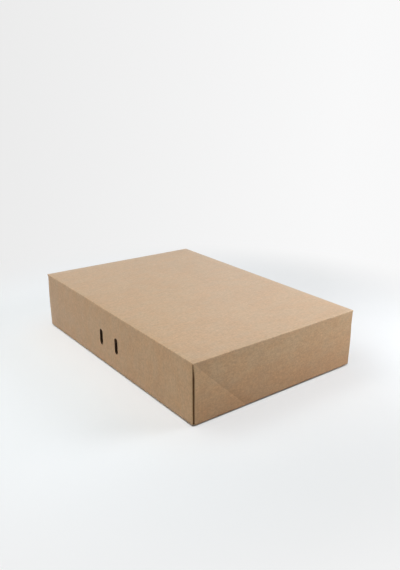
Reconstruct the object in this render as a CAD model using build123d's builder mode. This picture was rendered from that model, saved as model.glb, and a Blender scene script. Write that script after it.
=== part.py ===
# Collapsible shipping box of kraft board, in two halves: a base tray, and a lid of nearly
# full depth that slides down over it. Each half is one die-cut sheet with four folds, and
# is glued at its four corners.
#
# At a corner the long wall turns round a soft fold into a glue flap. The flap lies flat
# against the inside of the end wall. A crease runs at 45 degrees across the end wall, from
# the corner of the panel, so that the empty half can fold flat and pop up again. The flap
# holds only the triangle between the corner and that crease.
#
# Millimetres. The origin is the middle of the underside, +X along the box, +Z up.

import os
from math import sqrt
from build123d import *

# Overall size of the closed box
box_length = 400.0
box_width = 277.0
box_height = 85.0

# The board and its folds. The panel's folds are creased first and come out crisp, while the
# long wall turns into its glue flap more softly.
board = 1.5
fold_inside_radius = 0.5
panel_fold_radius = 1.0
flap_fold_radius = 2.0

# How the halves fit: the gap all round the base, and the strip of base below the lid
fit_gap = 1.5
rim_reveal = 3.0

# The slit between the end wall's cut edge and the long wall's fold, which widens down it
slit_top_gap = 0.8
slit_gap = 2.8
slit_taper = 20.0
relief_radius = 0.6

# The glue flap: where it starts, and how far its slanted edge stays from the crease
flap_start = 7.0
flap_setback = 1.5

# The pressed channel of the 45 degree crease
crease_width = 1.4
crease_depth = 0.35

# Upright strap slots in the middle of each long wall
slot_width = 8.0
slot_height = 23.4
slot_pitch = 42.0
slot_drop = 2.5
slot_margin = 2.5

# Sizes that follow
lid_depth = box_height - rim_reveal
base_length = box_length - 2 * (2 * board + fit_gap)
base_width = box_width - 2 * (board + fit_gap)
base_depth = box_height - board
slot_level = box_height / 2 - slot_drop
slit_start = panel_fold_radius + 2 * relief_radius


def folded_corner(length, width, depth):
    """A quarter of one half, on +X +Y: panel down at Z = 0, walls up, one glued corner."""
    end_face = length / 2
    side_face = width / 2
    flap_face = end_face - board
    crease_offset = flap_setback * sqrt(2)
    crease_run = (depth - slit_start + crease_width) * sqrt(2)
    score_radius = (crease_width**2 / 4 + crease_depth**2) / (2 * crease_depth)

    with BuildPart() as corner:
        # Panel and both walls, with the outside of their two folds
        with BuildSketch():
            Rectangle(end_face, side_face, align=Align.MIN)
        extrude(amount=depth)
        underside_edges = corner.faces().sort_by(Axis.Z)[0].edges()
        end_fold = underside_edges.filter_by(Axis.Y).sort_by(Axis.X)[-1]
        side_fold = underside_edges.filter_by(Axis.X).sort_by(Axis.Y)[-1]
        fillet([end_fold, side_fold], panel_fold_radius)

        # The open inside, with the inside of the folds
        with BuildSketch(Plane.XY.offset(board)):
            Rectangle(flap_face, side_face - board, align=Align.MIN)
        extrude(amount=depth - board, mode=Mode.SUBTRACT)
        floor_edges = corner.faces().filter_by(Axis.Z).sort_by(Axis.Z)[1].edges()
        end_root = floor_edges.filter_by(Axis.Y).sort_by(Axis.X)[-1]
        side_root = floor_edges.filter_by(Axis.X).sort_by(Axis.Y)[-1]
        fillet([end_root, side_root], fold_inside_radius)

        # Glue flap against the inside of the end wall
        with BuildSketch(Plane.YZ.offset(flap_face)):
            Polygon(
                (side_face - board, flap_start),
                (side_face - board, depth),
                (side_face - depth + crease_offset, depth),
                (side_face - flap_start + crease_offset, flap_start),
                align=None,
            )
        extrude(amount=-board)
        flap_root = corner.edges().filter_by(Axis.Z).filter_by_position(
            Axis.X, flap_face - board - fold_inside_radius, flap_face - board + fold_inside_radius
        )
        fillet(flap_root.sort_by(Axis.Y)[-1], fold_inside_radius)

        # The slit that leaves the end wall's cut edge, with a relief hole at its root
        with BuildSketch(Plane.YZ.offset(end_face)):
            Polygon(
                (side_face, slit_start),
                (side_face - slit_top_gap, slit_start),
                (side_face - slit_gap, slit_start + slit_taper),
                (side_face - slit_gap, depth),
                (side_face, depth),
                align=None,
            )
            with Locations((side_face, slit_start)):
                Circle(relief_radius)
        extrude(amount=-board, mode=Mode.SUBTRACT)

        # The round outside of the fold where the long wall turns into the flap
        with BuildSketch(Plane.XY.offset(slit_start)):
            with Locations((flap_face, side_face)):
                Rectangle(flap_fold_radius, flap_fold_radius, align=Align.MAX)
            with Locations((flap_face - flap_fold_radius, side_face - flap_fold_radius)):
                Circle(flap_fold_radius, mode=Mode.SUBTRACT)
        extrude(amount=depth - slit_start, mode=Mode.SUBTRACT)

        # The pressed crease, at 45 degrees from the corner to the rim
        crease_start = (end_face, side_face - slit_start, slit_start)
        with BuildSketch(Plane(crease_start, x_dir=(1, 0, 0), z_dir=(0, -1, 1))):
            with Locations((score_radius - crease_depth, 0)):
                Circle(score_radius)
        extrude(amount=crease_run, mode=Mode.SUBTRACT)
    return corner.part


def slot_pair(height, width):
    """The two upright slots, drawn on the box's lengthwise middle plane."""
    with BuildSketch(Plane.XZ) as slots:
        with Locations((0, slot_level)):
            with GridLocations(slot_pitch, 0, 2, 1):
                SlotOverall(height, width, rotation=90)
    return slots.sketch


# Base tray: panel on the ground, walls up to the underside of the lid's panel. Its slots are
# wider and taller than the lid's by a margin, so that they stay lined up in a loose fit.
base_corner = folded_corner(base_length, base_width, base_depth)
base_slots = slot_pair(slot_height + 2 * slot_margin, slot_width + 2 * slot_margin)
with BuildPart() as base:
    add(base_corner)
    mirror(about=Plane.XZ)
    mirror(about=Plane.YZ)
    extrude(base_slots, amount=base_width, both=True, mode=Mode.SUBTRACT)

# Lid: the same folded form turned over, its panel on top of the base's rim.
lid_corner = folded_corner(box_length, box_width, lid_depth)
lid_slots = slot_pair(slot_height, slot_width)
with BuildPart() as lid:
    with Locations((0, 0, box_height)):
        add(lid_corner, rotation=(180, 0, 0))
    mirror(about=Plane.XZ)
    mirror(about=Plane.YZ)
    extrude(lid_slots, amount=box_width, both=True, mode=Mode.SUBTRACT)

os.makedirs("parts", exist_ok=True)
base.part.label = "base"
export_step(base.part, "parts/base.step")
lid.part.label = "lid"
export_step(lid.part, "parts/lid.step")
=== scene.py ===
# %% [markdown]
# # A shipping box of kraft board
#
# The box is in two halves: a base tray, and a lid of nearly full depth that slides down over
# it. Each half is one sheet of kraft board, cut flat, folded at four creases and glued at its
# four corners.
#
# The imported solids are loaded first. They give every place and size here, in metres, with
# the long side along X and the ground at Z = 0.

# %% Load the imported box
import math

import bmesh
import bpy
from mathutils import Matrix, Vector


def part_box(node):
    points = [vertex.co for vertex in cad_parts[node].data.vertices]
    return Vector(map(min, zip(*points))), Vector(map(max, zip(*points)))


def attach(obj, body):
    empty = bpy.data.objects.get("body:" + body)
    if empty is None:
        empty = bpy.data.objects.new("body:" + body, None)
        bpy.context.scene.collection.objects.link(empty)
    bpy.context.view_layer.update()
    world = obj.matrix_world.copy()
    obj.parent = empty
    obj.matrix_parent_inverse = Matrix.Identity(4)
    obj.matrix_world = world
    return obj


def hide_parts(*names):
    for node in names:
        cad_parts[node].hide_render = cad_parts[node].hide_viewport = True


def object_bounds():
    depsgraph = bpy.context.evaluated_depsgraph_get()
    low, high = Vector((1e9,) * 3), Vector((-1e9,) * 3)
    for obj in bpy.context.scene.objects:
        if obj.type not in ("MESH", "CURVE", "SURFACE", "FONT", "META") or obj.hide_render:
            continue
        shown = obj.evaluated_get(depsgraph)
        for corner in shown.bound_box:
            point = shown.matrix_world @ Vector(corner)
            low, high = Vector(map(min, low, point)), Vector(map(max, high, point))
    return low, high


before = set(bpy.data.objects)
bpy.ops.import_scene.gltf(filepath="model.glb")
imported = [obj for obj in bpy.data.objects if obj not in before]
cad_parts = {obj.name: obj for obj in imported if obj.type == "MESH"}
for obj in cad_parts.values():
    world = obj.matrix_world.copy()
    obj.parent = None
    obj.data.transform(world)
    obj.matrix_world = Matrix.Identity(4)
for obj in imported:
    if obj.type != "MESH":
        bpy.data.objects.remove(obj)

cad_low, cad_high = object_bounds()
lid_low, lid_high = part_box("lid")
base_low, base_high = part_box("base")
print("closed box", [round(side, 4) for side in cad_high - cad_low])

# %% [markdown]
# ## The camera
#
# A product picture like this one is taken from a little above, with a short lens, so that
# the near corner is clearly larger than the far one. The camera stands at a measured place,
# and its turn is given as two plain angles: how far round the box it has walked, and how far
# down it looks.

# %% Camera
camera_place = (0.7173, -0.5170, 0.3988)
camera_azimuth = math.radians(53.105)
camera_elevation = math.radians(18.967)
camera_lens = 39.28
nearest_shown = 0.01
farthest_shown = 60

bpy.ops.object.camera_add(
    location=camera_place,
    rotation=(math.pi / 2 - camera_elevation, 0, camera_azimuth),
)
camera = bpy.context.object
camera.data.lens = camera_lens
camera.data.clip_start = nearest_shown
camera.data.clip_end = farthest_shown
bpy.context.scene.camera = camera
bpy.context.scene.view_settings.view_transform = "Standard"
print("camera", [round(place, 3) for place in camera.location])

# %% [markdown]
# ## The studio light
#
# Product light is soft and comes mostly from above. A large lamp hangs over the box and a
# second one over the front of the table: these two make the panel bright and the shadow
# faint. A small lamp stands low at the far right and lights the end wall, most of all at its
# far end. A weak one behind the box keeps the floor there from going grey. The light from
# above is a little cooler, like daylight, and the light from the front a little warmer, so
# that the panel looks greyer than the walls.
#
# Each lamp is given by its direction in plan, its elevation in degrees, its distance, its
# size, its power and its tint. The wider a lamp looks from the box, the softer its shadow.

# %% Lamps
lamps = {
    "overhead_lamp": {
        "plan": (-1.0, 0.4), "elevation": 86, "distance": 1.8, "size": 2.0,
        "watts": 14.2, "tint": (0.76, 0.90, 1.0),
    },
    "front_lamp": {
        "plan": (-0.33, -0.94), "elevation": 64, "distance": 1.8, "size": 2.2,
        "watts": 26.8, "tint": (1.0, 0.96, 0.89),
    },
    "side_lamp": {
        "plan": (0.66, 0.75), "elevation": 28, "distance": 0.72, "size": 0.35,
        "watts": 2.5, "tint": (0.90, 0.935, 1.0),
    },
    "back_lamp": {
        "plan": (-0.5, 0.87), "elevation": 40, "distance": 2.0, "size": 1.6,
        "watts": 2.7, "tint": (0.70, 0.80, 1.0),
    },
}


def softbox(name, plan, elevation, distance, size, watts, tint):
    """An area lamp that looks at the box from a direction in plan and an elevation."""
    aim = Vector((0, 0, cad_high.z / 2))
    slope = math.radians(elevation)
    level = Vector((plan[0], plan[1], 0)).normalized() * math.cos(slope)
    towards = level + Vector((0, 0, math.sin(slope)))
    bpy.ops.object.light_add(type="AREA", location=aim + towards * distance)
    lamp = bpy.context.object
    lamp.name = name
    lamp.rotation_euler = towards.to_track_quat("Z", "Y").to_euler()
    lamp.data.shape = "SQUARE"
    lamp.data.size = size
    lamp.data.energy = watts
    lamp.data.color = tint
    lamp.visible_camera = False


for name, stand in lamps.items():
    softbox(name, **stand)
print(len(lamps), "lamps")

# %% [markdown]
# ## Small helpers for node trees
#
# A material is a chain of small steps. Each helper adds one step, joins it to what feeds it,
# and returns its output, so that a recipe reads from top to bottom.

# %% Node helpers
def add_node(tree, kind, inputs=(), **settings):
    """One node of a kind, its settings set, and each input given a value or a link."""
    step = tree.nodes.new(kind)
    for name, value in settings.items():
        setattr(step, name, value)
    for socket, value in dict(inputs).items():
        if isinstance(value, bpy.types.NodeSocket):
            tree.links.new(value, step.inputs[socket])
        else:
            step.inputs[socket].default_value = value
    return step


def calculate(tree, operation, *values):
    """The result of one sum on one, two or three numbers."""
    step = add_node(tree, "ShaderNodeMath", enumerate(values), operation=operation)
    return step.outputs[0]


def product(tree, first, *others):
    """Numbers multiplied together."""
    for other in others:
        first = calculate(tree, "MULTIPLY", first, other)
    return first


def calculate_place(tree, operation, *places):
    """The result of one sum on vectors: a vector, or a number where that is what it gives."""
    step = add_node(tree, "ShaderNodeVectorMath", enumerate(places), operation=operation)
    gives_number = operation in ("LENGTH", "DOT_PRODUCT")
    return step.outputs["Value" if gives_number else "Vector"]


def blend(tree, kind, factor, first, second):
    """Two colours mixed or multiplied by a factor."""
    inputs = {0: factor, 6: first, 7: second}
    step = add_node(tree, "ShaderNodeMix", inputs, data_type="RGBA", blend_type=kind)
    return step.outputs[2]


def grey(tree, level):
    """A number as a grey colour."""
    return add_node(tree, "ShaderNodeCombineColor", {0: level, 1: level, 2: level}).outputs[0]


def between(tree, value, low, high, out_low=0.0, out_high=1.0, smooth=True):
    """A value carried from one range to another, and held at its ends."""
    inputs = {
        "Value": value,
        "From Min": low,
        "From Max": high,
        "To Min": out_low,
        "To Max": out_high,
    }
    interpolation = "SMOOTHSTEP" if smooth else "LINEAR"
    step = add_node(tree, "ShaderNodeMapRange", inputs, interpolation_type=interpolation)
    return step.outputs["Result"]


def new_material(name):
    """A material, its tree with just an output, and the socket that a surface goes into."""
    material = bpy.data.materials.new(name)
    material.use_nodes = True
    tree = material.node_tree
    tree.nodes.clear()
    output = tree.nodes.new("ShaderNodeOutputMaterial")
    return material, tree, output.inputs["Surface"]

# %% [markdown]
# ## The room
#
# The world does two jobs here. A ray that looks at it, straight or mirrored in a gloss, sees
# a plain pale backdrop. For stray light it is almost dark, because the lamps light the box,
# and a bright world would wash out its shadow.

# %% World
backdrop_tone = (0.91, 0.91, 0.91, 1)
room_tone = (1.0, 1.0, 1.0, 1)
room_strength = 0.06


def looking_ray(tree):
    """One for a ray that shows the scene, straight or in a gloss, and none for stray light."""
    ray = tree.nodes.new("ShaderNodeLightPath").outputs
    mirrored = calculate(tree, "MAXIMUM", ray["Is Glossy Ray"], ray["Is Transmission Ray"])
    return calculate(tree, "MAXIMUM", ray["Is Camera Ray"], mirrored)


def mix_shaders(tree, factor, first, second):
    """Two shaders mixed by a factor."""
    inputs = {0: factor, 1: first.outputs[0], 2: second.outputs[0]}
    return add_node(tree, "ShaderNodeMixShader", inputs)


world = bpy.data.worlds.new("room")
bpy.context.scene.world = world
world.use_nodes = True
room = world.node_tree
room.nodes.clear()
stray = add_node(room, "ShaderNodeBackground", {"Color": room_tone, "Strength": room_strength})
shown = add_node(room, "ShaderNodeBackground", {"Color": backdrop_tone, "Strength": 1.0})
mixed = mix_shaders(room, looking_ray(room), stray, shown)
output = room.nodes.new("ShaderNodeOutputWorld")
room.links.new(mixed.outputs[0], output.inputs["Surface"])
print("room", len(room.nodes), "nodes")

# %% [markdown]
# ## Two measures on the paper
#
# The photograph's floor runs into its background with no line between them. A studio gets
# that with a sweep: one sheet of paper that lies on the floor and rises far behind.
#
# What the paper shows depends on two measures. The first is how far a point lies outside the
# base's foot, because a painted glow lifts the shadow there. The second is how far it lies to
# the right as the camera sees it, because light and shade painted on it change slowly from
# left to right.

# %% Places on the paper
mm = 0.001
sweep_reach = 24.0
to_the_right = (0.6, 0.8, 0)
widening = 0.9


def outside_foot(tree, place):
    """How far a point of the paper lies outside the box's foot."""
    foot = (base_high.x, base_high.y, sweep_reach)
    beyond = calculate_place(tree, "SUBTRACT", calculate_place(tree, "ABSOLUTE", place), foot)
    return calculate_place(tree, "LENGTH", calculate_place(tree, "MAXIMUM", beyond, (0, 0, 0)))


def rightness(tree, place, away):
    """Rises from left to right, less steeply far away, as a row of posts seems to close up."""
    side = calculate_place(tree, "DOT_PRODUCT", place, to_the_right)
    return calculate(tree, "DIVIDE", side, calculate(tree, "ADD", away, widening))


print("foot of the box", round(2 * base_high.x / mm), "by", round(2 * base_high.y / mm), "mm")

# %% [markdown]
# ## The finish of the paper
#
# Near the box it is matt paper, which takes the shadow. Its colour is painted darker to the
# right, as painted shade that evens out the side lamp's light there. Close round the foot it
# has a faint glow, painted light that keeps the shadow there from leaving a wide black line.
# Far away it turns into a glowing plain tone, painted a little lighter to the right, which
# meets the backdrop with no horizon.
#
# The tones and the glow are only for rays that look at the scene. The light that comes back
# from the paper to the box is that of an even, slightly grey sheet.

# %% Finish of the paper
paper_left = (0.975, 0.985, 1.0, 1)
# Painted shade: the near paper is darker to the right, evening out the side lamp's light.
paper_right = (0.765, 0.755, 0.745, 1)
paper_ramp = (-0.12, 0.20)
paper_bounce = (0.86, 0.86, 0.86, 1)
# Painted light: the far glowing tone is lighter to the right.
plain_left = (0.835, 0.835, 0.835, 1)
plain_right = (0.943, 0.943, 0.945, 1)
plain_ramp = (-0.30, 0.22)
fade = (0.28, 0.60)
foot_tone = (0.88, 0.88, 0.88, 1)
foot_glow = 0.62
foot_line = (2.6 * mm, 3.6 * mm)
foot_reach = 75 * mm


def near_paper(tree, place, right, seen):
    """Matt paper, painted darker to the right, with a painted glow round the foot of the box."""
    share = between(tree, right, *paper_ramp, smooth=False)
    paper = blend(tree, "MIX", share, paper_left, paper_right)
    paper = blend(tree, "MIX", seen, paper_bounce, paper)
    matt = add_node(tree, "ShaderNodeBsdfDiffuse", {"Color": paper})
    outside = outside_foot(tree, place)
    rise = between(tree, outside, *foot_line)
    fall = between(tree, outside, 0.0, foot_reach, foot_glow, 0.0)
    # Painted light: this glow lifts the shadow close round the foot.
    foot_painted_light = add_node(tree, "ShaderNodeEmission", {"Color": foot_tone, "Strength": 1.0})
    return mix_shaders(tree, product(tree, rise, fall, seen), matt, foot_painted_light)


def sweep_paper():
    """The paper near the box, and a glowing plain tone far away, painted lighter to the right."""
    material, tree, surface = new_material("sweep_paper")
    place = tree.nodes.new("ShaderNodeTexCoord").outputs["Object"]
    away = calculate_place(tree, "LENGTH", place)
    right = rightness(tree, place, away)
    seen = looking_ray(tree)
    close = near_paper(tree, place, right, seen)
    share = between(tree, right, *plain_ramp, smooth=False)
    beyond = blend(tree, "MIX", share, plain_left, plain_right)
    plain = add_node(tree, "ShaderNodeEmission", {"Color": beyond, "Strength": 1.0})
    far = product(tree, between(tree, away, *fade), seen)
    tree.links.new(mix_shaders(tree, far, close, plain).outputs[0], surface)
    print(material.name, len(tree.nodes), "nodes")
    return material

# %% [markdown]
# ## The sweep
#
# The sweep could be a curved wall behind the box, but then a view from behind would look past
# it. A round sheet with its rim drawn up far away works from every side. It is a disc whose
# outer edge is extruded upwards.

# %% Paper sweep
sweep_sides = 96

bpy.ops.mesh.primitive_circle_add(vertices=sweep_sides, radius=sweep_reach, fill_type="NGON")
sweep = bpy.context.object
sweep.name = "sweep"
sweep.data.materials.append(sweep_paper())
bpy.ops.object.mode_set(mode="EDIT")
bpy.ops.mesh.select_all(action="DESELECT")
bpy.ops.mesh.select_mode(type="EDGE")
bpy.ops.mesh.select_non_manifold()
bpy.ops.mesh.extrude_edges_move(TRANSFORM_OT_translate={"value": (0, 0, sweep_reach)})
bpy.ops.object.mode_set(mode="OBJECT")
print("sweep", [round(side, 1) for side in sweep.dimensions])

# %% [markdown]
# ## Patterns of the paper
#
# Kraft liner is unbleached paper: a warm brown, a little cloudy, with fine fibres, and nearly
# matt. All of that lies in the plane of the sheet, so its patterns are drawn on the flat blank
# and not in the room. Each half carries a map called `blank`, which gives every point its
# place on the unfolded sheet, in metres. A streak then runs on over a fold as it does on the
# real sheet, and the distance from a fold is easy to find.
#
# Every pattern is noise. A size of its own along and across the sheet makes it a cloud, a
# grain or a fibre, and a seed moves it, so that no two patterns line up.

# %% A pattern
seed_slant = 0.7
swing_ends = (0.25, 0.75)


def pattern(tree, place, size, detail=2.0, rough=0.55, seed=0.0):
    """Noise about a mean of a half, with features of a size along and across the sheet."""
    across, along = size if isinstance(size, tuple) else (size, size)
    inputs = {
        "Vector": place,
        "Location": (seed, seed * seed_slant, seed),
        "Scale": (1 / across, 1 / along, 1),
    }
    scaled = add_node(tree, "ShaderNodeMapping", inputs)
    inputs = {"Vector": scaled.outputs[0], "Scale": 1.0, "Detail": detail, "Roughness": rough}
    return add_node(tree, "ShaderNodeTexNoise", inputs).outputs["Fac"]


def swing(tree, value, share):
    """A factor about one that follows a pattern by a share up and down."""
    return between(tree, value, *swing_ends, 1 - share, 1 + share, smooth=False)

# %% [markdown]
# ## Light and dark in the liner
#
# Held to the light, liner is uneven at every size: wide clouds from the pulp, mottling and
# grain of a millimetre or two, single fibres that lie one way, and long faint streaks from
# the paper machine. Each is a factor near one, and they are multiplied. The mottling and the
# grain are cut off at their dark end, because kraft has no black specks.

# %% Light and dark
cloud_size = 45 * mm
cloud_share = 0.03
streak_size = (3.0 * mm, 110 * mm)
streak_share = 0.03
fibre_share = 0.12
mottle_ends = (0.36, 0.70)
mottle_levels = (0.925, 1.105)
grain_ends = (0.38, 0.70)
grain_levels = (0.97, 1.05)


def liner_level(tree, place, mottle, grain, fibre):
    """How light the liner is at a place: clouds, mottling, grain, fibres and streaks."""
    cloud = pattern(tree, place, cloud_size, seed=3.1)
    streak = pattern(tree, place, streak_size, detail=1.0, seed=9.2)
    return product(
        tree,
        swing(tree, cloud, cloud_share),
        between(tree, mottle, *mottle_ends, *mottle_levels, smooth=False),
        between(tree, grain, *grain_ends, *grain_levels, smooth=False),
        swing(tree, fibre, fibre_share),
        swing(tree, streak, streak_share),
    )


print("clouds of", round(cloud_size / mm), "mm")

# %% [markdown]
# ## Paler folds, and painted light and shade at the creases
#
# The four folds round the panel are a little paler, more where the paper is mottled light.
# Beside the crease across the end wall the board is held flat against its glue flap, and on the
# crease's other side it bends away. That tilt isn't modelled: the colour there is painted a
# little lighter on the flat side and darker on the bent side, as painted light and shade.
#
# Both follow from two distances on the blank: how far a point lies past the fold of the end
# wall, and how far past the fold of the long wall. They are below nought on the panel. Their
# sum is nought just on a crease, as that runs at 45 degrees from the panel's corner.

# %% Folds and creases
pale_fold_width = 2.2 * mm
pale_fold_mottle = (0.3, 0.6)
pale_fold_least = 0.35
crease_painted_light = 0.05
crease_painted_shade = 0.036
crease_reach = (40 * mm, 16 * mm)
crease_sides = (-30 * mm, 30 * mm)
crease_faint = 0.2


def pale_folds(tree, past_end, past_side, mottle):
    """One on the sheet's four folds, where they are paler, and none away from them."""
    to_end = calculate(tree, "ABSOLUTE", past_end)
    to_side = calculate(tree, "ABSOLUTE", past_side)
    to_fold = calculate(tree, "MINIMUM", to_end, to_side)
    paler = between(tree, to_fold, 0.0, pale_fold_width, 1.0, 0.0)
    return product(tree, paler, between(tree, mottle, *pale_fold_mottle, pale_fold_least, 1.0))


def on_end_wall(tree, past_end, past_side):
    """One on the end walls, and none elsewhere."""
    inside = calculate(tree, "LESS_THAN", past_side, 0.0)
    return product(tree, inside, calculate(tree, "GREATER_THAN", past_end, 0.0))


def painted_crease_shading(tree, along, past_end, past_side):
    """Painted light beside the end wall's crease where it is held flat, painted shade where it
    bends away.
    """
    below = product(tree, calculate(tree, "ADD", past_end, past_side), math.sqrt(0.5))
    under = calculate(tree, "GREATER_THAN", below, 0.0)
    over = calculate(tree, "SUBTRACT", 1.0, under)
    # Painted light on the crease's flat side and painted shade on its bent side.
    crease_lit = product(tree, between(tree, below, 0.0, crease_reach[0], crease_painted_light, 0.0), under)
    crease_shaded = product(tree, between(tree, below, -crease_reach[1], 0.0, 0.0, -crease_painted_shade), over)
    tone = calculate(tree, "ADD", crease_lit, crease_shaded)
    pressed = between(tree, along, *crease_sides, 1.0, crease_faint)
    return product(tree, tone, on_end_wall(tree, past_end, past_side), pressed)


# The width over which the folds are paler.
print("folds worn over", round(pale_fold_width / mm, 1), "mm")

# %% [markdown]
# ## Painted shade in the slits and on the end walls
#
# Where a long wall turns round the corner into its flap, the fold is painted dark: that painted
# shade is what shows inside the slit at each corner. The end walls are painted a little darker
# and browner lower down, as painted shade.

# %% Painted shade in the slits and low on the end walls
crevice_shade_start = (0.3 * mm, 1.2 * mm)
crevice_shade_end = (4.5 * mm, 7.0 * mm)
low_end_shade = (15 * mm, 80 * mm)


def painted_crevice_shade(tree, past_end, past_side):
    """One on the fold of a glue flap, where shade is painted dark, and none elsewhere."""
    on_side_wall = calculate(tree, "GREATER_THAN", past_side, 0.0)
    shade_rise = between(tree, past_end, *crevice_shade_start)
    shade_fall = between(tree, past_end, *crevice_shade_end, 1.0, 0.0)
    return product(tree, on_side_wall, product(tree, shade_rise, shade_fall))


def painted_low_end_shade(tree, past_end, past_side):
    """Rises down the end walls, where painted shade makes them darker and browner lower down."""
    # Painted shade, rising down the end walls.
    on_end = calculate(tree, "LESS_THAN", past_side, 0.0)
    return product(tree, on_end, between(tree, past_end, *low_end_shade))


# How far past the fold the painted shade of the slits reaches.
print("glue reaches", round(crevice_shade_end[1] / mm, 1), "mm past the fold")

# %% [markdown]
# ## The colour of the liner
#
# The brown is never one brown: ruddier patches a couple of centimetres wide run through it,
# and there are a few darker flecks of bark. The walls are painted a little lighter than the
# panel, as painted light that makes up for their duller face. Painted shade is laid over that,
# in the slit at each corner and low on the end walls.

# %% Colour of the liner
kraft_tone = (0.507, 0.338, 0.195, 1)
ruddy_tone = (0.512, 0.322, 0.176, 1)
ruddy_size = (16 * mm, 28 * mm)
ruddy_ends = (0.32, 0.68)
fleck_tone = (0.470, 0.305, 0.165, 1)
fleck_size = 1.6 * mm
fleck_ends = (0.80, 0.92)
# Painted light: the walls' paper is lifted to make up for their duller face.
wall_painted_light = (1.085, 1.07, 1.055, 1)
# Painted shade in the slit at each corner.
crevice_shade_tone = (0.14, 0.075, 0.035, 1)
# Painted shade, darker and browner low on the end walls.
low_end_shade_tone = (0.93, 0.87, 0.83, 1)


def liner_colour(tree, place, on_wall, crevice_shade, low_end_shading):
    """The brown of the liner with its painted light and shade, before the light and dark of its
    patterns.
    """
    ruddy = pattern(tree, place, ruddy_size, seed=13.6)
    flecks = pattern(tree, place, fleck_size, detail=0.0, seed=21.4)
    toned = blend(tree, "MIX", between(tree, ruddy, *ruddy_ends), kraft_tone, ruddy_tone)
    flecked = blend(tree, "MIX", between(tree, flecks, *fleck_ends), toned, fleck_tone)
    tinted = blend(tree, "MULTIPLY", on_wall, flecked, wall_painted_light)
    tinted = blend(tree, "MIX", crevice_shade, tinted, crevice_shade_tone)
    return blend(tree, "MULTIPLY", low_end_shading, tinted, low_end_shade_tone)


print("ruddy patches of", [round(side / mm) for side in ruddy_size], "mm")

# %% [markdown]
# ## The liner
#
# Kraft liner isn't glossy, but at the low slant of a product picture the panel still takes on
# some of the backdrop's light. So the lid's panel has an ordinary gloss and a soft sheen, and
# its relief is nearly flat. The walls and the whole base are duller, and on the walls the
# fibres stand out more. Where the fold in each slit is painted dark as shade, there is no
# shine at all.

# %% Kraft liner
mottle_size = 2.8 * mm
grain_size = 1.1 * mm
fibre_size = (0.7 * mm, 9 * mm)
pale_fold_gain = 0.12
wall_blend = 3.0 * mm
fibre_relief = 0.12 * mm
fibre_height = 0.6
panel_bump = 0.045
wall_bump = 0.14
rough_ends = (0.2, 0.8)
board_rough = (0.29, 0.31)
board_ior = 1.45
lid_panel_gloss = 0.5
lid_panel_sheen = 0.36
plain_gloss = 0.2
plain_sheen = 0.16
sheen_rough = 0.2


def kraft_liner(name, half_length, half_width, panel_gloss, panel_sheen):
    """The face of the sheet, paler at its panel's folds, with light and shade painted on the
    walls, at the creases, in the slits and low on the end walls.
    """
    material, tree, surface = new_material(name)
    place = add_node(tree, "ShaderNodeUVMap", uv_map="blank").outputs["UV"]
    mottle = pattern(tree, place, mottle_size, detail=3.0, seed=7.7)
    grain = pattern(tree, place, grain_size, rough=0.7, seed=1.3)
    fibre = pattern(tree, place, fibre_size, seed=5.9)

    across, along, _ = add_node(tree, "ShaderNodeSeparateXYZ", {0: place}).outputs
    past_end = calculate(tree, "SUBTRACT", calculate(tree, "ABSOLUTE", across), half_length)
    past_side = calculate(tree, "SUBTRACT", calculate(tree, "ABSOLUTE", along), half_width)
    past_fold = calculate(tree, "MAXIMUM", past_end, past_side)
    on_wall = between(tree, past_fold, 0.0, wall_blend)
    # Painted shade on the flap's fold, which shows inside each corner slit.
    crevice_shade = painted_crevice_shade(tree, past_end, past_side)
    low_end_shading = painted_low_end_shade(tree, past_end, past_side)

    level = liner_level(tree, place, mottle, grain, fibre)
    paler = pale_folds(tree, past_end, past_side, mottle)
    level = calculate(tree, "MULTIPLY_ADD", paler, pale_fold_gain, level)
    level = calculate(tree, "ADD", level, painted_crease_shading(tree, along, past_end, past_side))
    colour = liner_colour(tree, place, on_wall, crevice_shade, low_end_shading)

    relief = calculate(tree, "MULTIPLY_ADD", fibre, fibre_height, grain)
    strength = between(tree, on_wall, 0.0, 1.0, panel_bump, wall_bump)
    inputs = {"Height": relief, "Strength": strength, "Distance": fibre_relief}
    bump = add_node(tree, "ShaderNodeBump", inputs)
    # No shine where shade is painted in the slits.
    outside_crevice = calculate(tree, "SUBTRACT", 1.0, crevice_shade)
    gloss = between(tree, on_wall, 0.0, 1.0, panel_gloss, plain_gloss)
    sheen = between(tree, on_wall, 0.0, 1.0, panel_sheen, plain_sheen)
    inputs = {
        "Base Color": blend(tree, "MULTIPLY", 1.0, colour, grey(tree, level)),
        "Roughness": between(tree, mottle, *rough_ends, *board_rough),
        "IOR": board_ior,
        "Specular IOR Level": product(tree, gloss, outside_crevice),
        "Sheen Weight": product(tree, sheen, outside_crevice),
        "Sheen Roughness": sheen_rough,
        "Normal": bump.outputs[0],
    }
    shader = add_node(tree, "ShaderNodeBsdfPrincipled", inputs)
    tree.links.new(shader.outputs[0], surface)
    print(name, len(tree.nodes), "nodes")
    return material

# %% [markdown]
# ## The cut edge
#
# Where the sheet was cut, the board shows its core: shorter fibres, a little darker and quite
# rough. It has no map of its own, and takes its grain from its place in the room. The same
# recipe in a very dark brown makes the cut of the slots: painted shade, as narrow holes with a
# dark inside look nearly black.

# %% Cut edge of the board
edge_tone = (0.43, 0.275, 0.15, 1)
# Painted shade: the slots' cut faces are coloured nearly black.
slot_shade_tone = (0.06, 0.03, 0.015, 1)
cut_grain_size = 0.9 * mm
cut_grain_share = 0.12
cut_cloud_size = 6 * mm
cut_cloud_share = 0.06
cut_relief = 0.3 * mm
cut_bump = 0.6
cut_rough = 0.9


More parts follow.
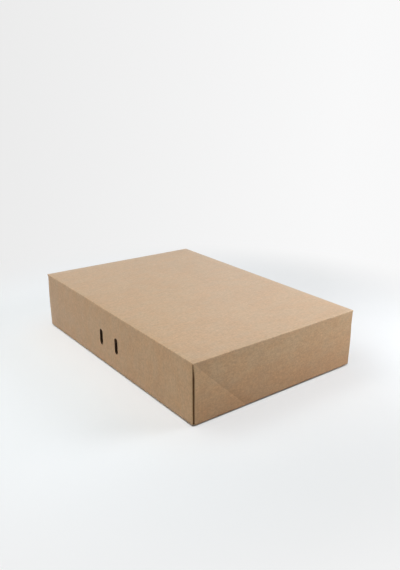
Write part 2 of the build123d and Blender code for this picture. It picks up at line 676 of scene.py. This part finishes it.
def cut_board(name, tone):
    """The edge of the board, dull and fibrous."""
    material, tree, surface = new_material(name)
    place = tree.nodes.new("ShaderNodeTexCoord").outputs["Object"]
    grain = pattern(tree, place, cut_grain_size, detail=3.0, rough=0.7, seed=4.2)
    cloud = pattern(tree, place, cut_cloud_size, seed=8.8)
    level = product(tree, swing(tree, grain, cut_grain_share), swing(tree, cloud, cut_cloud_share))
    inputs = {"Height": grain, "Strength": cut_bump, "Distance": cut_relief}
    bump = add_node(tree, "ShaderNodeBump", inputs)
    inputs = {
        "Base Color": blend(tree, "MULTIPLY", 1.0, tone, grey(tree, level)),
        "Roughness": cut_rough,
        "Normal": bump.outputs[0],
    }
    shader = add_node(tree, "ShaderNodeBsdfPrincipled", inputs)
    tree.links.new(shader.outputs[0], surface)
    print(name, len(tree.nodes), "nodes")
    return material

# %% [markdown]
# ## How a half is folded up
#
# The lid and the base are the same form at two sizes, so one set of steps makes both: panel up,
# open side down. Only the outside of the sheet is drawn, as a surface. The thickness of the
# board comes last, from a modifier, so that every cut edge has the board's true width.
#
# A bpy.ops tool works on what is selected, so the helpers below first clear the selection and
# then pick faces, edges or points by their place. A face counts as facing along an axis
# squarely or mostly, by how large that part of its normal is.

# %% Selection helpers
near = 0.02 * mm
squarely = 0.9
mostly = 0.7
select_modes = {"faces": "FACE", "edges": "EDGE", "verts": "VERT"}


def deselect():
    """Leaves no object selected."""
    bpy.ops.object.select_all(action="DESELECT")


def select_only(piece):
    """Makes one object the active one, and the only one selected."""
    deselect()
    piece.select_set(True)
    bpy.context.view_layer.objects.active = piece


def pick(piece, kind, test):
    """In edit mode, selects just the faces, edges or verts that pass a test."""
    bpy.ops.mesh.select_all(action="DESELECT")
    bpy.ops.mesh.select_mode(type=select_modes[kind])
    mesh = bmesh.from_edit_mesh(piece.data)
    for element in getattr(mesh, kind):
        if test(element):
            element.select_set(True)
    mesh.select_flush_mode()
    bmesh.update_edit_mesh(piece.data)


print("points count as one within", near / mm, "mm")

# %% [markdown]
# ## Straight cuts and soft folds
#
# Two tools do nearly all the work. Bisect draws a straight line across the faces that are
# selected, and takes away what lies on one side of it only where it is told to. Bevel turns a
# sharp edge into a soft fold, which is what creased board has: its fibres bend, and never make
# a true corner.

# %% Cutting and folding
fold_segments = 4
round_profile = 0.5


def cut(point, normal, **clear):
    """A straight cut through what is selected."""
    bpy.ops.mesh.bisect(plane_co=point, plane_no=normal, threshold=near, **clear)


def soften(radius):
    """Bevels the selected edges into a round fold."""
    bpy.ops.mesh.bevel(
        offset=radius, segments=fold_segments, profile=round_profile, affect="EDGES"
    )


print("a fold has", fold_segments, "facets")

# %% [markdown]
# ## Panel and walls
#
# A cube of the half's size loses its lower face, and the four edges of its panel are softened
# into folds.

# %% Panel and walls
board = 1.5 * mm
fold_radius = 0.9 * mm


def panel_and_walls(name, low, high):
    """The outside of an open box, panel up, with soft folds. Ends in edit mode."""
    deselect()
    bpy.ops.mesh.primitive_cube_add(size=1, location=(low + high) / 2, scale=high - low)
    half = bpy.context.object
    half.name = name
    bpy.ops.object.transform_apply(location=True, rotation=True, scale=True)
    bpy.ops.object.mode_set(mode="EDIT")
    pick(half, "faces", lambda face: face.normal.z < -squarely)
    bpy.ops.mesh.delete(type="FACE")
    pick(half, "edges", lambda edge: all(vert.co.z > high.z - near for vert in edge.verts))
    soften(fold_radius)
    return half


print("board", board / mm, "mm")

# %% [markdown]
# ## An even net
#
# A wall of one large face can't bend. Straight cuts all over the sheet give it an even net of
# faces, so that it can follow the real box's slight bow later on. A few of the level cuts lie
# where the slits of the corners begin, lead in and stop widening.

# %% Net of faces
net_pitch = 12.5 * mm
slit_start = 1.4 * mm
slit_lead = 0.8 * mm
slit_taper = 20.0 * mm


def cut_upright(low, high, axis):
    """Upright cuts across one axis, evenly spaced."""
    point = (low + high) / 2
    normal = [float(axis == other) for other in range(3)]
    span = high[axis] - low[axis]
    count = round(span / net_pitch)
    for step in range(1, count):
        point[axis] = low[axis] + span * step / count
        bpy.ops.mesh.select_all(action="SELECT")
        cut(point, normal)


def cut_level(low, high):
    """Level cuts at the marks of the slits, and evenly spaced below them."""
    taper_end = slit_start + slit_taper
    below = high.z - taper_end - low.z
    count = round(below / net_pitch)
    levels = [slit_start, slit_start + slit_lead, taper_end]
    levels += [taper_end + below * step / count for step in range(1, count)]
    levels += [slit_start + slit_taper / 2]
    for level in levels:
        bpy.ops.mesh.select_all(action="SELECT")
        cut((0, 0, high.z - level), (0, 0, 1))


def cut_net(low, high):
    """An even net of faces all over the sheet."""
    cut_upright(low, high, 0)
    cut_upright(low, high, 1)
    cut_level(low, high)


print("net pitch", net_pitch / mm, "mm")

# %% [markdown]
# ## Corner slits
#
# At each corner the sheet was cut, so that the end wall could be folded down beside the long
# wall. The cut starts just under the panel and gets wider downwards, which leaves room for the
# softer fold of the long wall beside it. A boolean could take out such a wedge, but it needs a
# closed form and this is still an open sheet. Here two straight cuts draw the end wall's edge,
# and the narrow strip of faces between it and the corner is deleted.

# %% Corner slits
slit_top_gap = 1.0 * mm
slit_gap = 2.8 * mm


def slit_width(drop):
    """How far the end wall's cut edge is from the corner, at a distance below the panel."""
    share = min(1.0, max(0.0, (drop - slit_start) / slit_taper))
    return slit_top_gap + (slit_gap - slit_top_gap) * share


def cut_slit(half, low, high, end, side):
    """Opens the slit at one corner: end is -1 or 1 along X, and side is -1 or 1 along Y."""
    top = high.z - slit_start
    bend = top - slit_taper
    wall = end * high.x
    edge_top = Vector((wall, side * (high.y - slit_top_gap), top))
    edge_bend = Vector((wall, side * (high.y - slit_gap), bend))
    slanted = (edge_top - edge_bend).cross(Vector((1, 0, 0)))

    def on_end(face, lowest, highest):
        centre = face.calc_center_median()
        faces_out = face.normal.x * end > squarely
        return faces_out and centre.y * side > 0 and lowest < centre.z < highest

    def in_slit(face):
        centre = face.calc_center_median()
        edge = high.y - slit_width(high.z - centre.z)
        return on_end(face, low.z, top) and side * centre.y > edge

    pick(half, "faces", lambda face: on_end(face, bend, top))
    cut(edge_top, slanted)
    pick(half, "faces", lambda face: on_end(face, low.z, bend))
    cut(edge_bend, (0, 1, 0))
    pick(half, "faces", in_slit)
    bpy.ops.mesh.delete(type="FACE")


print("slit", slit_top_gap / mm, "to", slit_gap / mm, "mm wide")

# %% [markdown]
# ## Glue flaps
#
# The long wall goes on round the corner as a glue flap, inside the end wall. Its free edge is
# moved in by the board's thickness and extruded along the inside of the end wall, first a
# little away from it and then back, as the board is too stiff to turn sharply. The flap is
# trimmed at 45 degrees, so that it stays clear of the end wall's crease, and its fold is
# softened.

# %% Glue flaps
flap_gap = 0.05 * mm
flap_recess = 1.2 * mm
flap_setback = 3.0 * mm
flap_search = 3.0 * mm
flap_fold = 2.2 * mm


def fold_flap(half, low, high, end, side):
    """Turns the long wall round the corner into a glue flap behind the end wall."""
    top = high.z - slit_start - slit_lead
    shift = -end * (board + flap_gap)
    corner_x = end * high.x + shift
    depth = high.z - low.z
    steps = round(depth / net_pitch)
    recess = end * flap_recess
    leans = [-recess, recess] + [0] * (steps - 2)

    def at_corner(point, x):
        beside = abs(point.x - x) < near and abs(point.y - side * high.y) < near
        return beside and point.z < top + near

    def on_fold(edge):
        return all(at_corner(vert.co, corner_x) for vert in edge.verts)

    def on_flap(face):
        centre = face.calc_center_median()
        inwards = end * (corner_x - centre.x)
        upright = abs(face.normal.x) > squarely
        return upright and -near < inwards < flap_search + near and centre.y * side > 0

    pick(half, "verts", lambda vert: at_corner(vert.co, end * high.x))
    bpy.ops.transform.translate(value=(shift, 0, 0))
    pick(half, "edges", on_fold)
    for lean in leans:
        move = (lean, -side * depth / steps, 0)
        bpy.ops.mesh.extrude_edges_move(TRANSFORM_OT_translate={"value": move})
    pick(half, "faces", on_flap)
    trim = (0, side * (high.y - flap_setback), high.z)
    cut(trim, (0, side, -1), clear_inner=True)
    pick(half, "edges", on_fold)
    soften(flap_fold)


print("flap fold", flap_fold / mm, "mm")

# %% [markdown]
# ## The creases of the end walls
#
# A crease runs across each end wall at 45 degrees from each corner of the panel, so that the
# empty half folds flat. It is a shallow pressed channel, deeper on one side of each wall than
# on the other. Three parallel cuts draw it, and the points of the middle one are pushed in.

# %% Pressed creases
crease_width = 1.6 * mm
crease_depth = 0.25 * mm
faint_crease = 0.10 * mm
wall_play = 0.6 * mm


def press_crease(half, high, end, side):
    """Presses the 45 degree crease into one end wall, from one corner."""
    corner = Vector((end * high.x, side * high.y, high.z))
    across = Vector((0, side, -1)).normalized()
    top = high.z - slit_start
    depth = crease_depth if side < 0 else faint_crease

    def on_end(face):
        centre = face.calc_center_median()
        outside = face.normal.x * end > squarely and abs(centre.x) > high.x - wall_play
        return outside and centre.y * side > 0 and centre.z < top

    def on_crease(vert):
        on_wall = abs(vert.co.x - end * high.x) < near and vert.co.z < top - near
        return on_wall and abs((vert.co - corner).dot(across)) < near

    for offset in (-crease_width / 2, 0, crease_width / 2):
        pick(half, "faces", on_end)
        cut(corner + across * offset, across)
    pick(half, "verts", on_crease)
    bpy.ops.transform.translate(value=(-end * depth, 0, 0))


print("creases", crease_depth / mm, "and", faint_crease / mm, "mm deep")

# %% [markdown]
# ## The map of the flat blank
#
# Each point is given its place on the unfolded sheet. On the panel that is just X and Y. On a
# wall it is the way along the fold, and the panel's half width plus the way down the wall. A
# glue flap lies beyond the end of its long wall, and goes on from there.

# %% Map of the blank
def place_on_blank(point, facing, on_flap, high):
    """Where a point of a face lies on the flat sheet, which is centred on the panel."""
    x, y, z = point
    drop = high.z - z
    if facing[2] > mostly:
        return x, y
    down_side = math.copysign(high.y + drop, y)
    if facing[1] > mostly:
        return x, down_side
    if on_flap:
        return math.copysign(high.x + high.y - abs(y), x), down_side
    return math.copysign(high.x + drop, x), y


def map_blank(half, high):
    """Writes the map `blank`: the place of every corner of every face on the flat sheet."""
    mesh = half.data
    layer = mesh.uv_layers.new(name="blank")
    for face in mesh.polygons:
        facing = [abs(part) for part in face.normal]
        on_flap = facing[0] > mostly and abs(face.center.x) < high.x - board - near
        for loop in face.loop_indices:
            point = mesh.vertices[mesh.loops[loop].vertex_index].co
            layer.data[loop].uv = place_on_blank(point, facing, on_flap, high)
    print(half.name, "blank map,", len(layer.data), "face corners")

# %% [markdown]
# ## Strap slots
#
# Two upright slots with round ends go through each long wall. The cutter for a slot is a
# cylinder that lies along Y, with its upper half moved up and its lower half moved down. A
# boolean takes it out of both long walls at once, and gives the cut the nearly black finish
# that the cutter carries, which is painted shade.

# %% Strap slots
slot_width = 8.0 * mm
slot_height = 23.4 * mm
slot_pitch = 42.0 * mm
slot_level = 40.0 * mm
slot_margin = 2.5 * mm
slot_sides = 32
cutter_share = 2.2


def slot_cutter(across, length, margin, finish):
    """A rod along Y with a slot's outline, larger all round by a margin."""
    deselect()
    bpy.ops.mesh.primitive_cylinder_add(
        vertices=slot_sides,
        radius=slot_width / 2 + margin,
        depth=length,
        location=(across, 0, slot_level),
        rotation=(math.pi / 2, 0, 0),
    )
    cutter = bpy.context.object
    bpy.ops.object.transform_apply(location=True, rotation=True, scale=True)
    cutter.data.materials.append(finish)
    rise = slot_height / 2 - slot_width / 2
    bpy.ops.object.mode_set(mode="EDIT")
    pick(cutter, "verts", lambda vert: vert.co.z > slot_level + near)
    bpy.ops.transform.translate(value=(0, 0, rise))
    pick(cutter, "verts", lambda vert: vert.co.z < slot_level + near)
    bpy.ops.transform.translate(value=(0, 0, -rise))
    bpy.ops.object.mode_set(mode="OBJECT")
    return cutter


def punch_slots(half, high, margin, finish):
    """Punches the two slots through both long walls, larger all round by a margin."""
    for side in (-1, 1):
        cutter = slot_cutter(side * slot_pitch / 2, cutter_share * high.y, margin, finish)
        select_only(half)
        punch = half.modifiers.new("punch", "BOOLEAN")
        punch.operation = "DIFFERENCE"
        punch.object = cutter
        punch.solver = "EXACT"
        punch.material_mode = "TRANSFER"
        bpy.ops.object.modifier_apply(modifier="punch")
        bpy.data.objects.remove(cutter)
    print(half.name, "slotted,", len(half.data.polygons), "faces")

# %% [markdown]
# ## One half, from cube to board
#
# The steps above run in order. The Solidify modifier then gives the sheet its thickness
# towards the inside, with the cut-edge finish on its rim.

# %% A folded half
towards_inside = -1
rim_finish = 1


def thicken(half):
    """Gives the sheet the board's thickness, with the second finish on its cut edges."""
    thickness = half.modifiers.new("board", "SOLIDIFY")
    thickness.thickness = board
    thickness.offset = towards_inside
    thickness.use_even_offset = True
    thickness.material_offset_rim = rim_finish
    bpy.ops.object.modifier_apply(modifier="board")


def folded_half(name, low, high, finishes):
    """One half of the box, panel up."""
    half = panel_and_walls(name, low, high)
    cut_net(low, high)
    for end in (-1, 1):
        for side in (-1, 1):
            cut_slit(half, low, high, end, side)
            press_crease(half, high, end, side)
            fold_flap(half, low, high, end, side)
    bpy.ops.mesh.select_all(action="SELECT")
    bpy.ops.mesh.remove_doubles(threshold=near)
    bpy.ops.mesh.normals_make_consistent(inside=False)
    bpy.ops.object.mode_set(mode="OBJECT")
    for finish in finishes:
        half.data.materials.append(finish)
    thicken(half)
    map_blank(half, high)
    return half

# %% [markdown]
# ## Settled board
#
# Board is springy, and no box of it is quite square. On the real one the far left corner of
# the lid stands a couple of millimetres high, the near corner sits low, and the walls bow out
# by less than a millimetre. A lattice does that: a cage of three by three by three points
# round a piece, whose moves the piece follows smoothly. Lid and base get the same moves at
# the top, so they still fit.

# %% Settled board
corner_lift = {(-1, -1): 2.3 * mm, (1, -1): -1.6 * mm, (-1, 1): -1.0 * mm, (1, 1): -0.6 * mm}
rim_lift = {(-1, -1): -1.2 * mm, (1, -1): -0.3 * mm, (-1, 1): 0.0, (1, 1): 0.1 * mm}
flat_foot = {corner: 0.0 for corner in corner_lift}
cage_points = 3


def shared(corners, u, v):
    """A value from the four corners, for a place from -1 to 1 along and across."""
    return sum(
        value * (1 + u * corner[0]) * (1 + v * corner[1]) / 4
        for corner, value in corners.items()
    )


def new_cage(low, high):
    """A lattice of three points each way, as large as a box."""
    deselect()
    bpy.ops.object.add(type="LATTICE", location=(low + high) / 2)
    cage = bpy.context.object
    cage.scale = high - low
    for way in ("u", "v", "w"):
        setattr(cage.data, f"points_{way}", cage_points)
        setattr(cage.data, f"interpolation_type_{way}", "KEY_CATMULL_ROM")
    return cage


def settle(piece, low, high, top, foot, bow):
    """Bends a piece with a lattice: its corners up or down, and its walls out by a bow."""
    cage = new_cage(low, high)
    size = high - low
    for point in cage.data.points:
        u, v, w = (round(2 * part) for part in point.co)
        share = (w + 1) / 2
        rise = shared(top, u, v) * share + shared(foot, u, v) * (1 - share)
        out = bow if w == 0 else 0
        shift = Vector((u * out / size.x, v * out / size.y, rise / size.z))
        point.co_deform = point.co_deform + shift
    select_only(piece)
    bend = piece.modifiers.new("settle", "LATTICE")
    bend.object = cage
    bpy.ops.object.modifier_apply(modifier="settle")
    bpy.data.objects.remove(cage)
    print(piece.name, "settled", [round(side / mm, 1) for side in piece.dimensions])

# %% [markdown]
# ## The lid
#
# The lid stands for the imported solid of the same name, rides with it, and has its size. Flat
# shading would show the facets of its folds, and smooth shading alone would blur its cut
# edges. So it is smooth only where two faces meet at less than 40 degrees.

# %% Lid
lid_bow = 0.6 * mm
smooth_angle = math.radians(40)


def shade_folds(piece):
    """Smooth shading over the soft folds, and a sharp break at the cut edges."""
    select_only(piece)
    bpy.ops.object.shade_smooth_by_angle(angle=smooth_angle)


board_edge = cut_board("board_edge", edge_tone)
# The slots' cut faces carry painted shade.
slot_shade_edge = cut_board("slot_shade_edge", slot_shade_tone)
lid_face = kraft_liner("lid_kraft", lid_high.x, lid_high.y, lid_panel_gloss, lid_panel_sheen)
lid = folded_half("lid_board", lid_low, lid_high, (lid_face, board_edge))
punch_slots(lid, lid_high, 0, slot_shade_edge)
settle(lid, lid_low, lid_high, corner_lift, rim_lift, lid_bow)
shade_folds(lid)
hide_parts("lid")
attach(lid, "lid")

# %% [markdown]
# ## The base
#
# The base is the same form a size smaller, and the other way up. It is folded up panel up, and
# then turned over about its own middle. Its foot stays flat on the paper, and its slots are a
# little larger, so that they stay lined up with the lid's in a loose fit.

# %% Base
base_clearance = 0.1 * mm

base_face = kraft_liner("base_kraft", base_high.x, base_high.y, plain_gloss, plain_sheen)
base = folded_half("base_board", base_low, base_high, (base_face, board_edge))
bpy.ops.object.mode_set(mode="EDIT")
bpy.ops.mesh.select_all(action="SELECT")
turned_about = (0, 0, (base_low.z + base_high.z) / 2)
bpy.ops.transform.rotate(value=math.pi, orient_axis="X", center_override=turned_about)
bpy.ops.object.mode_set(mode="OBJECT")
punch_slots(base, base_high, slot_margin, slot_shade_edge)
base_lift = {corner: lift - base_clearance for corner, lift in corner_lift.items()}
settle(base, base_low, base_high, base_lift, flat_foot, 0)
shade_folds(base)
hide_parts("base")
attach(base, "base")
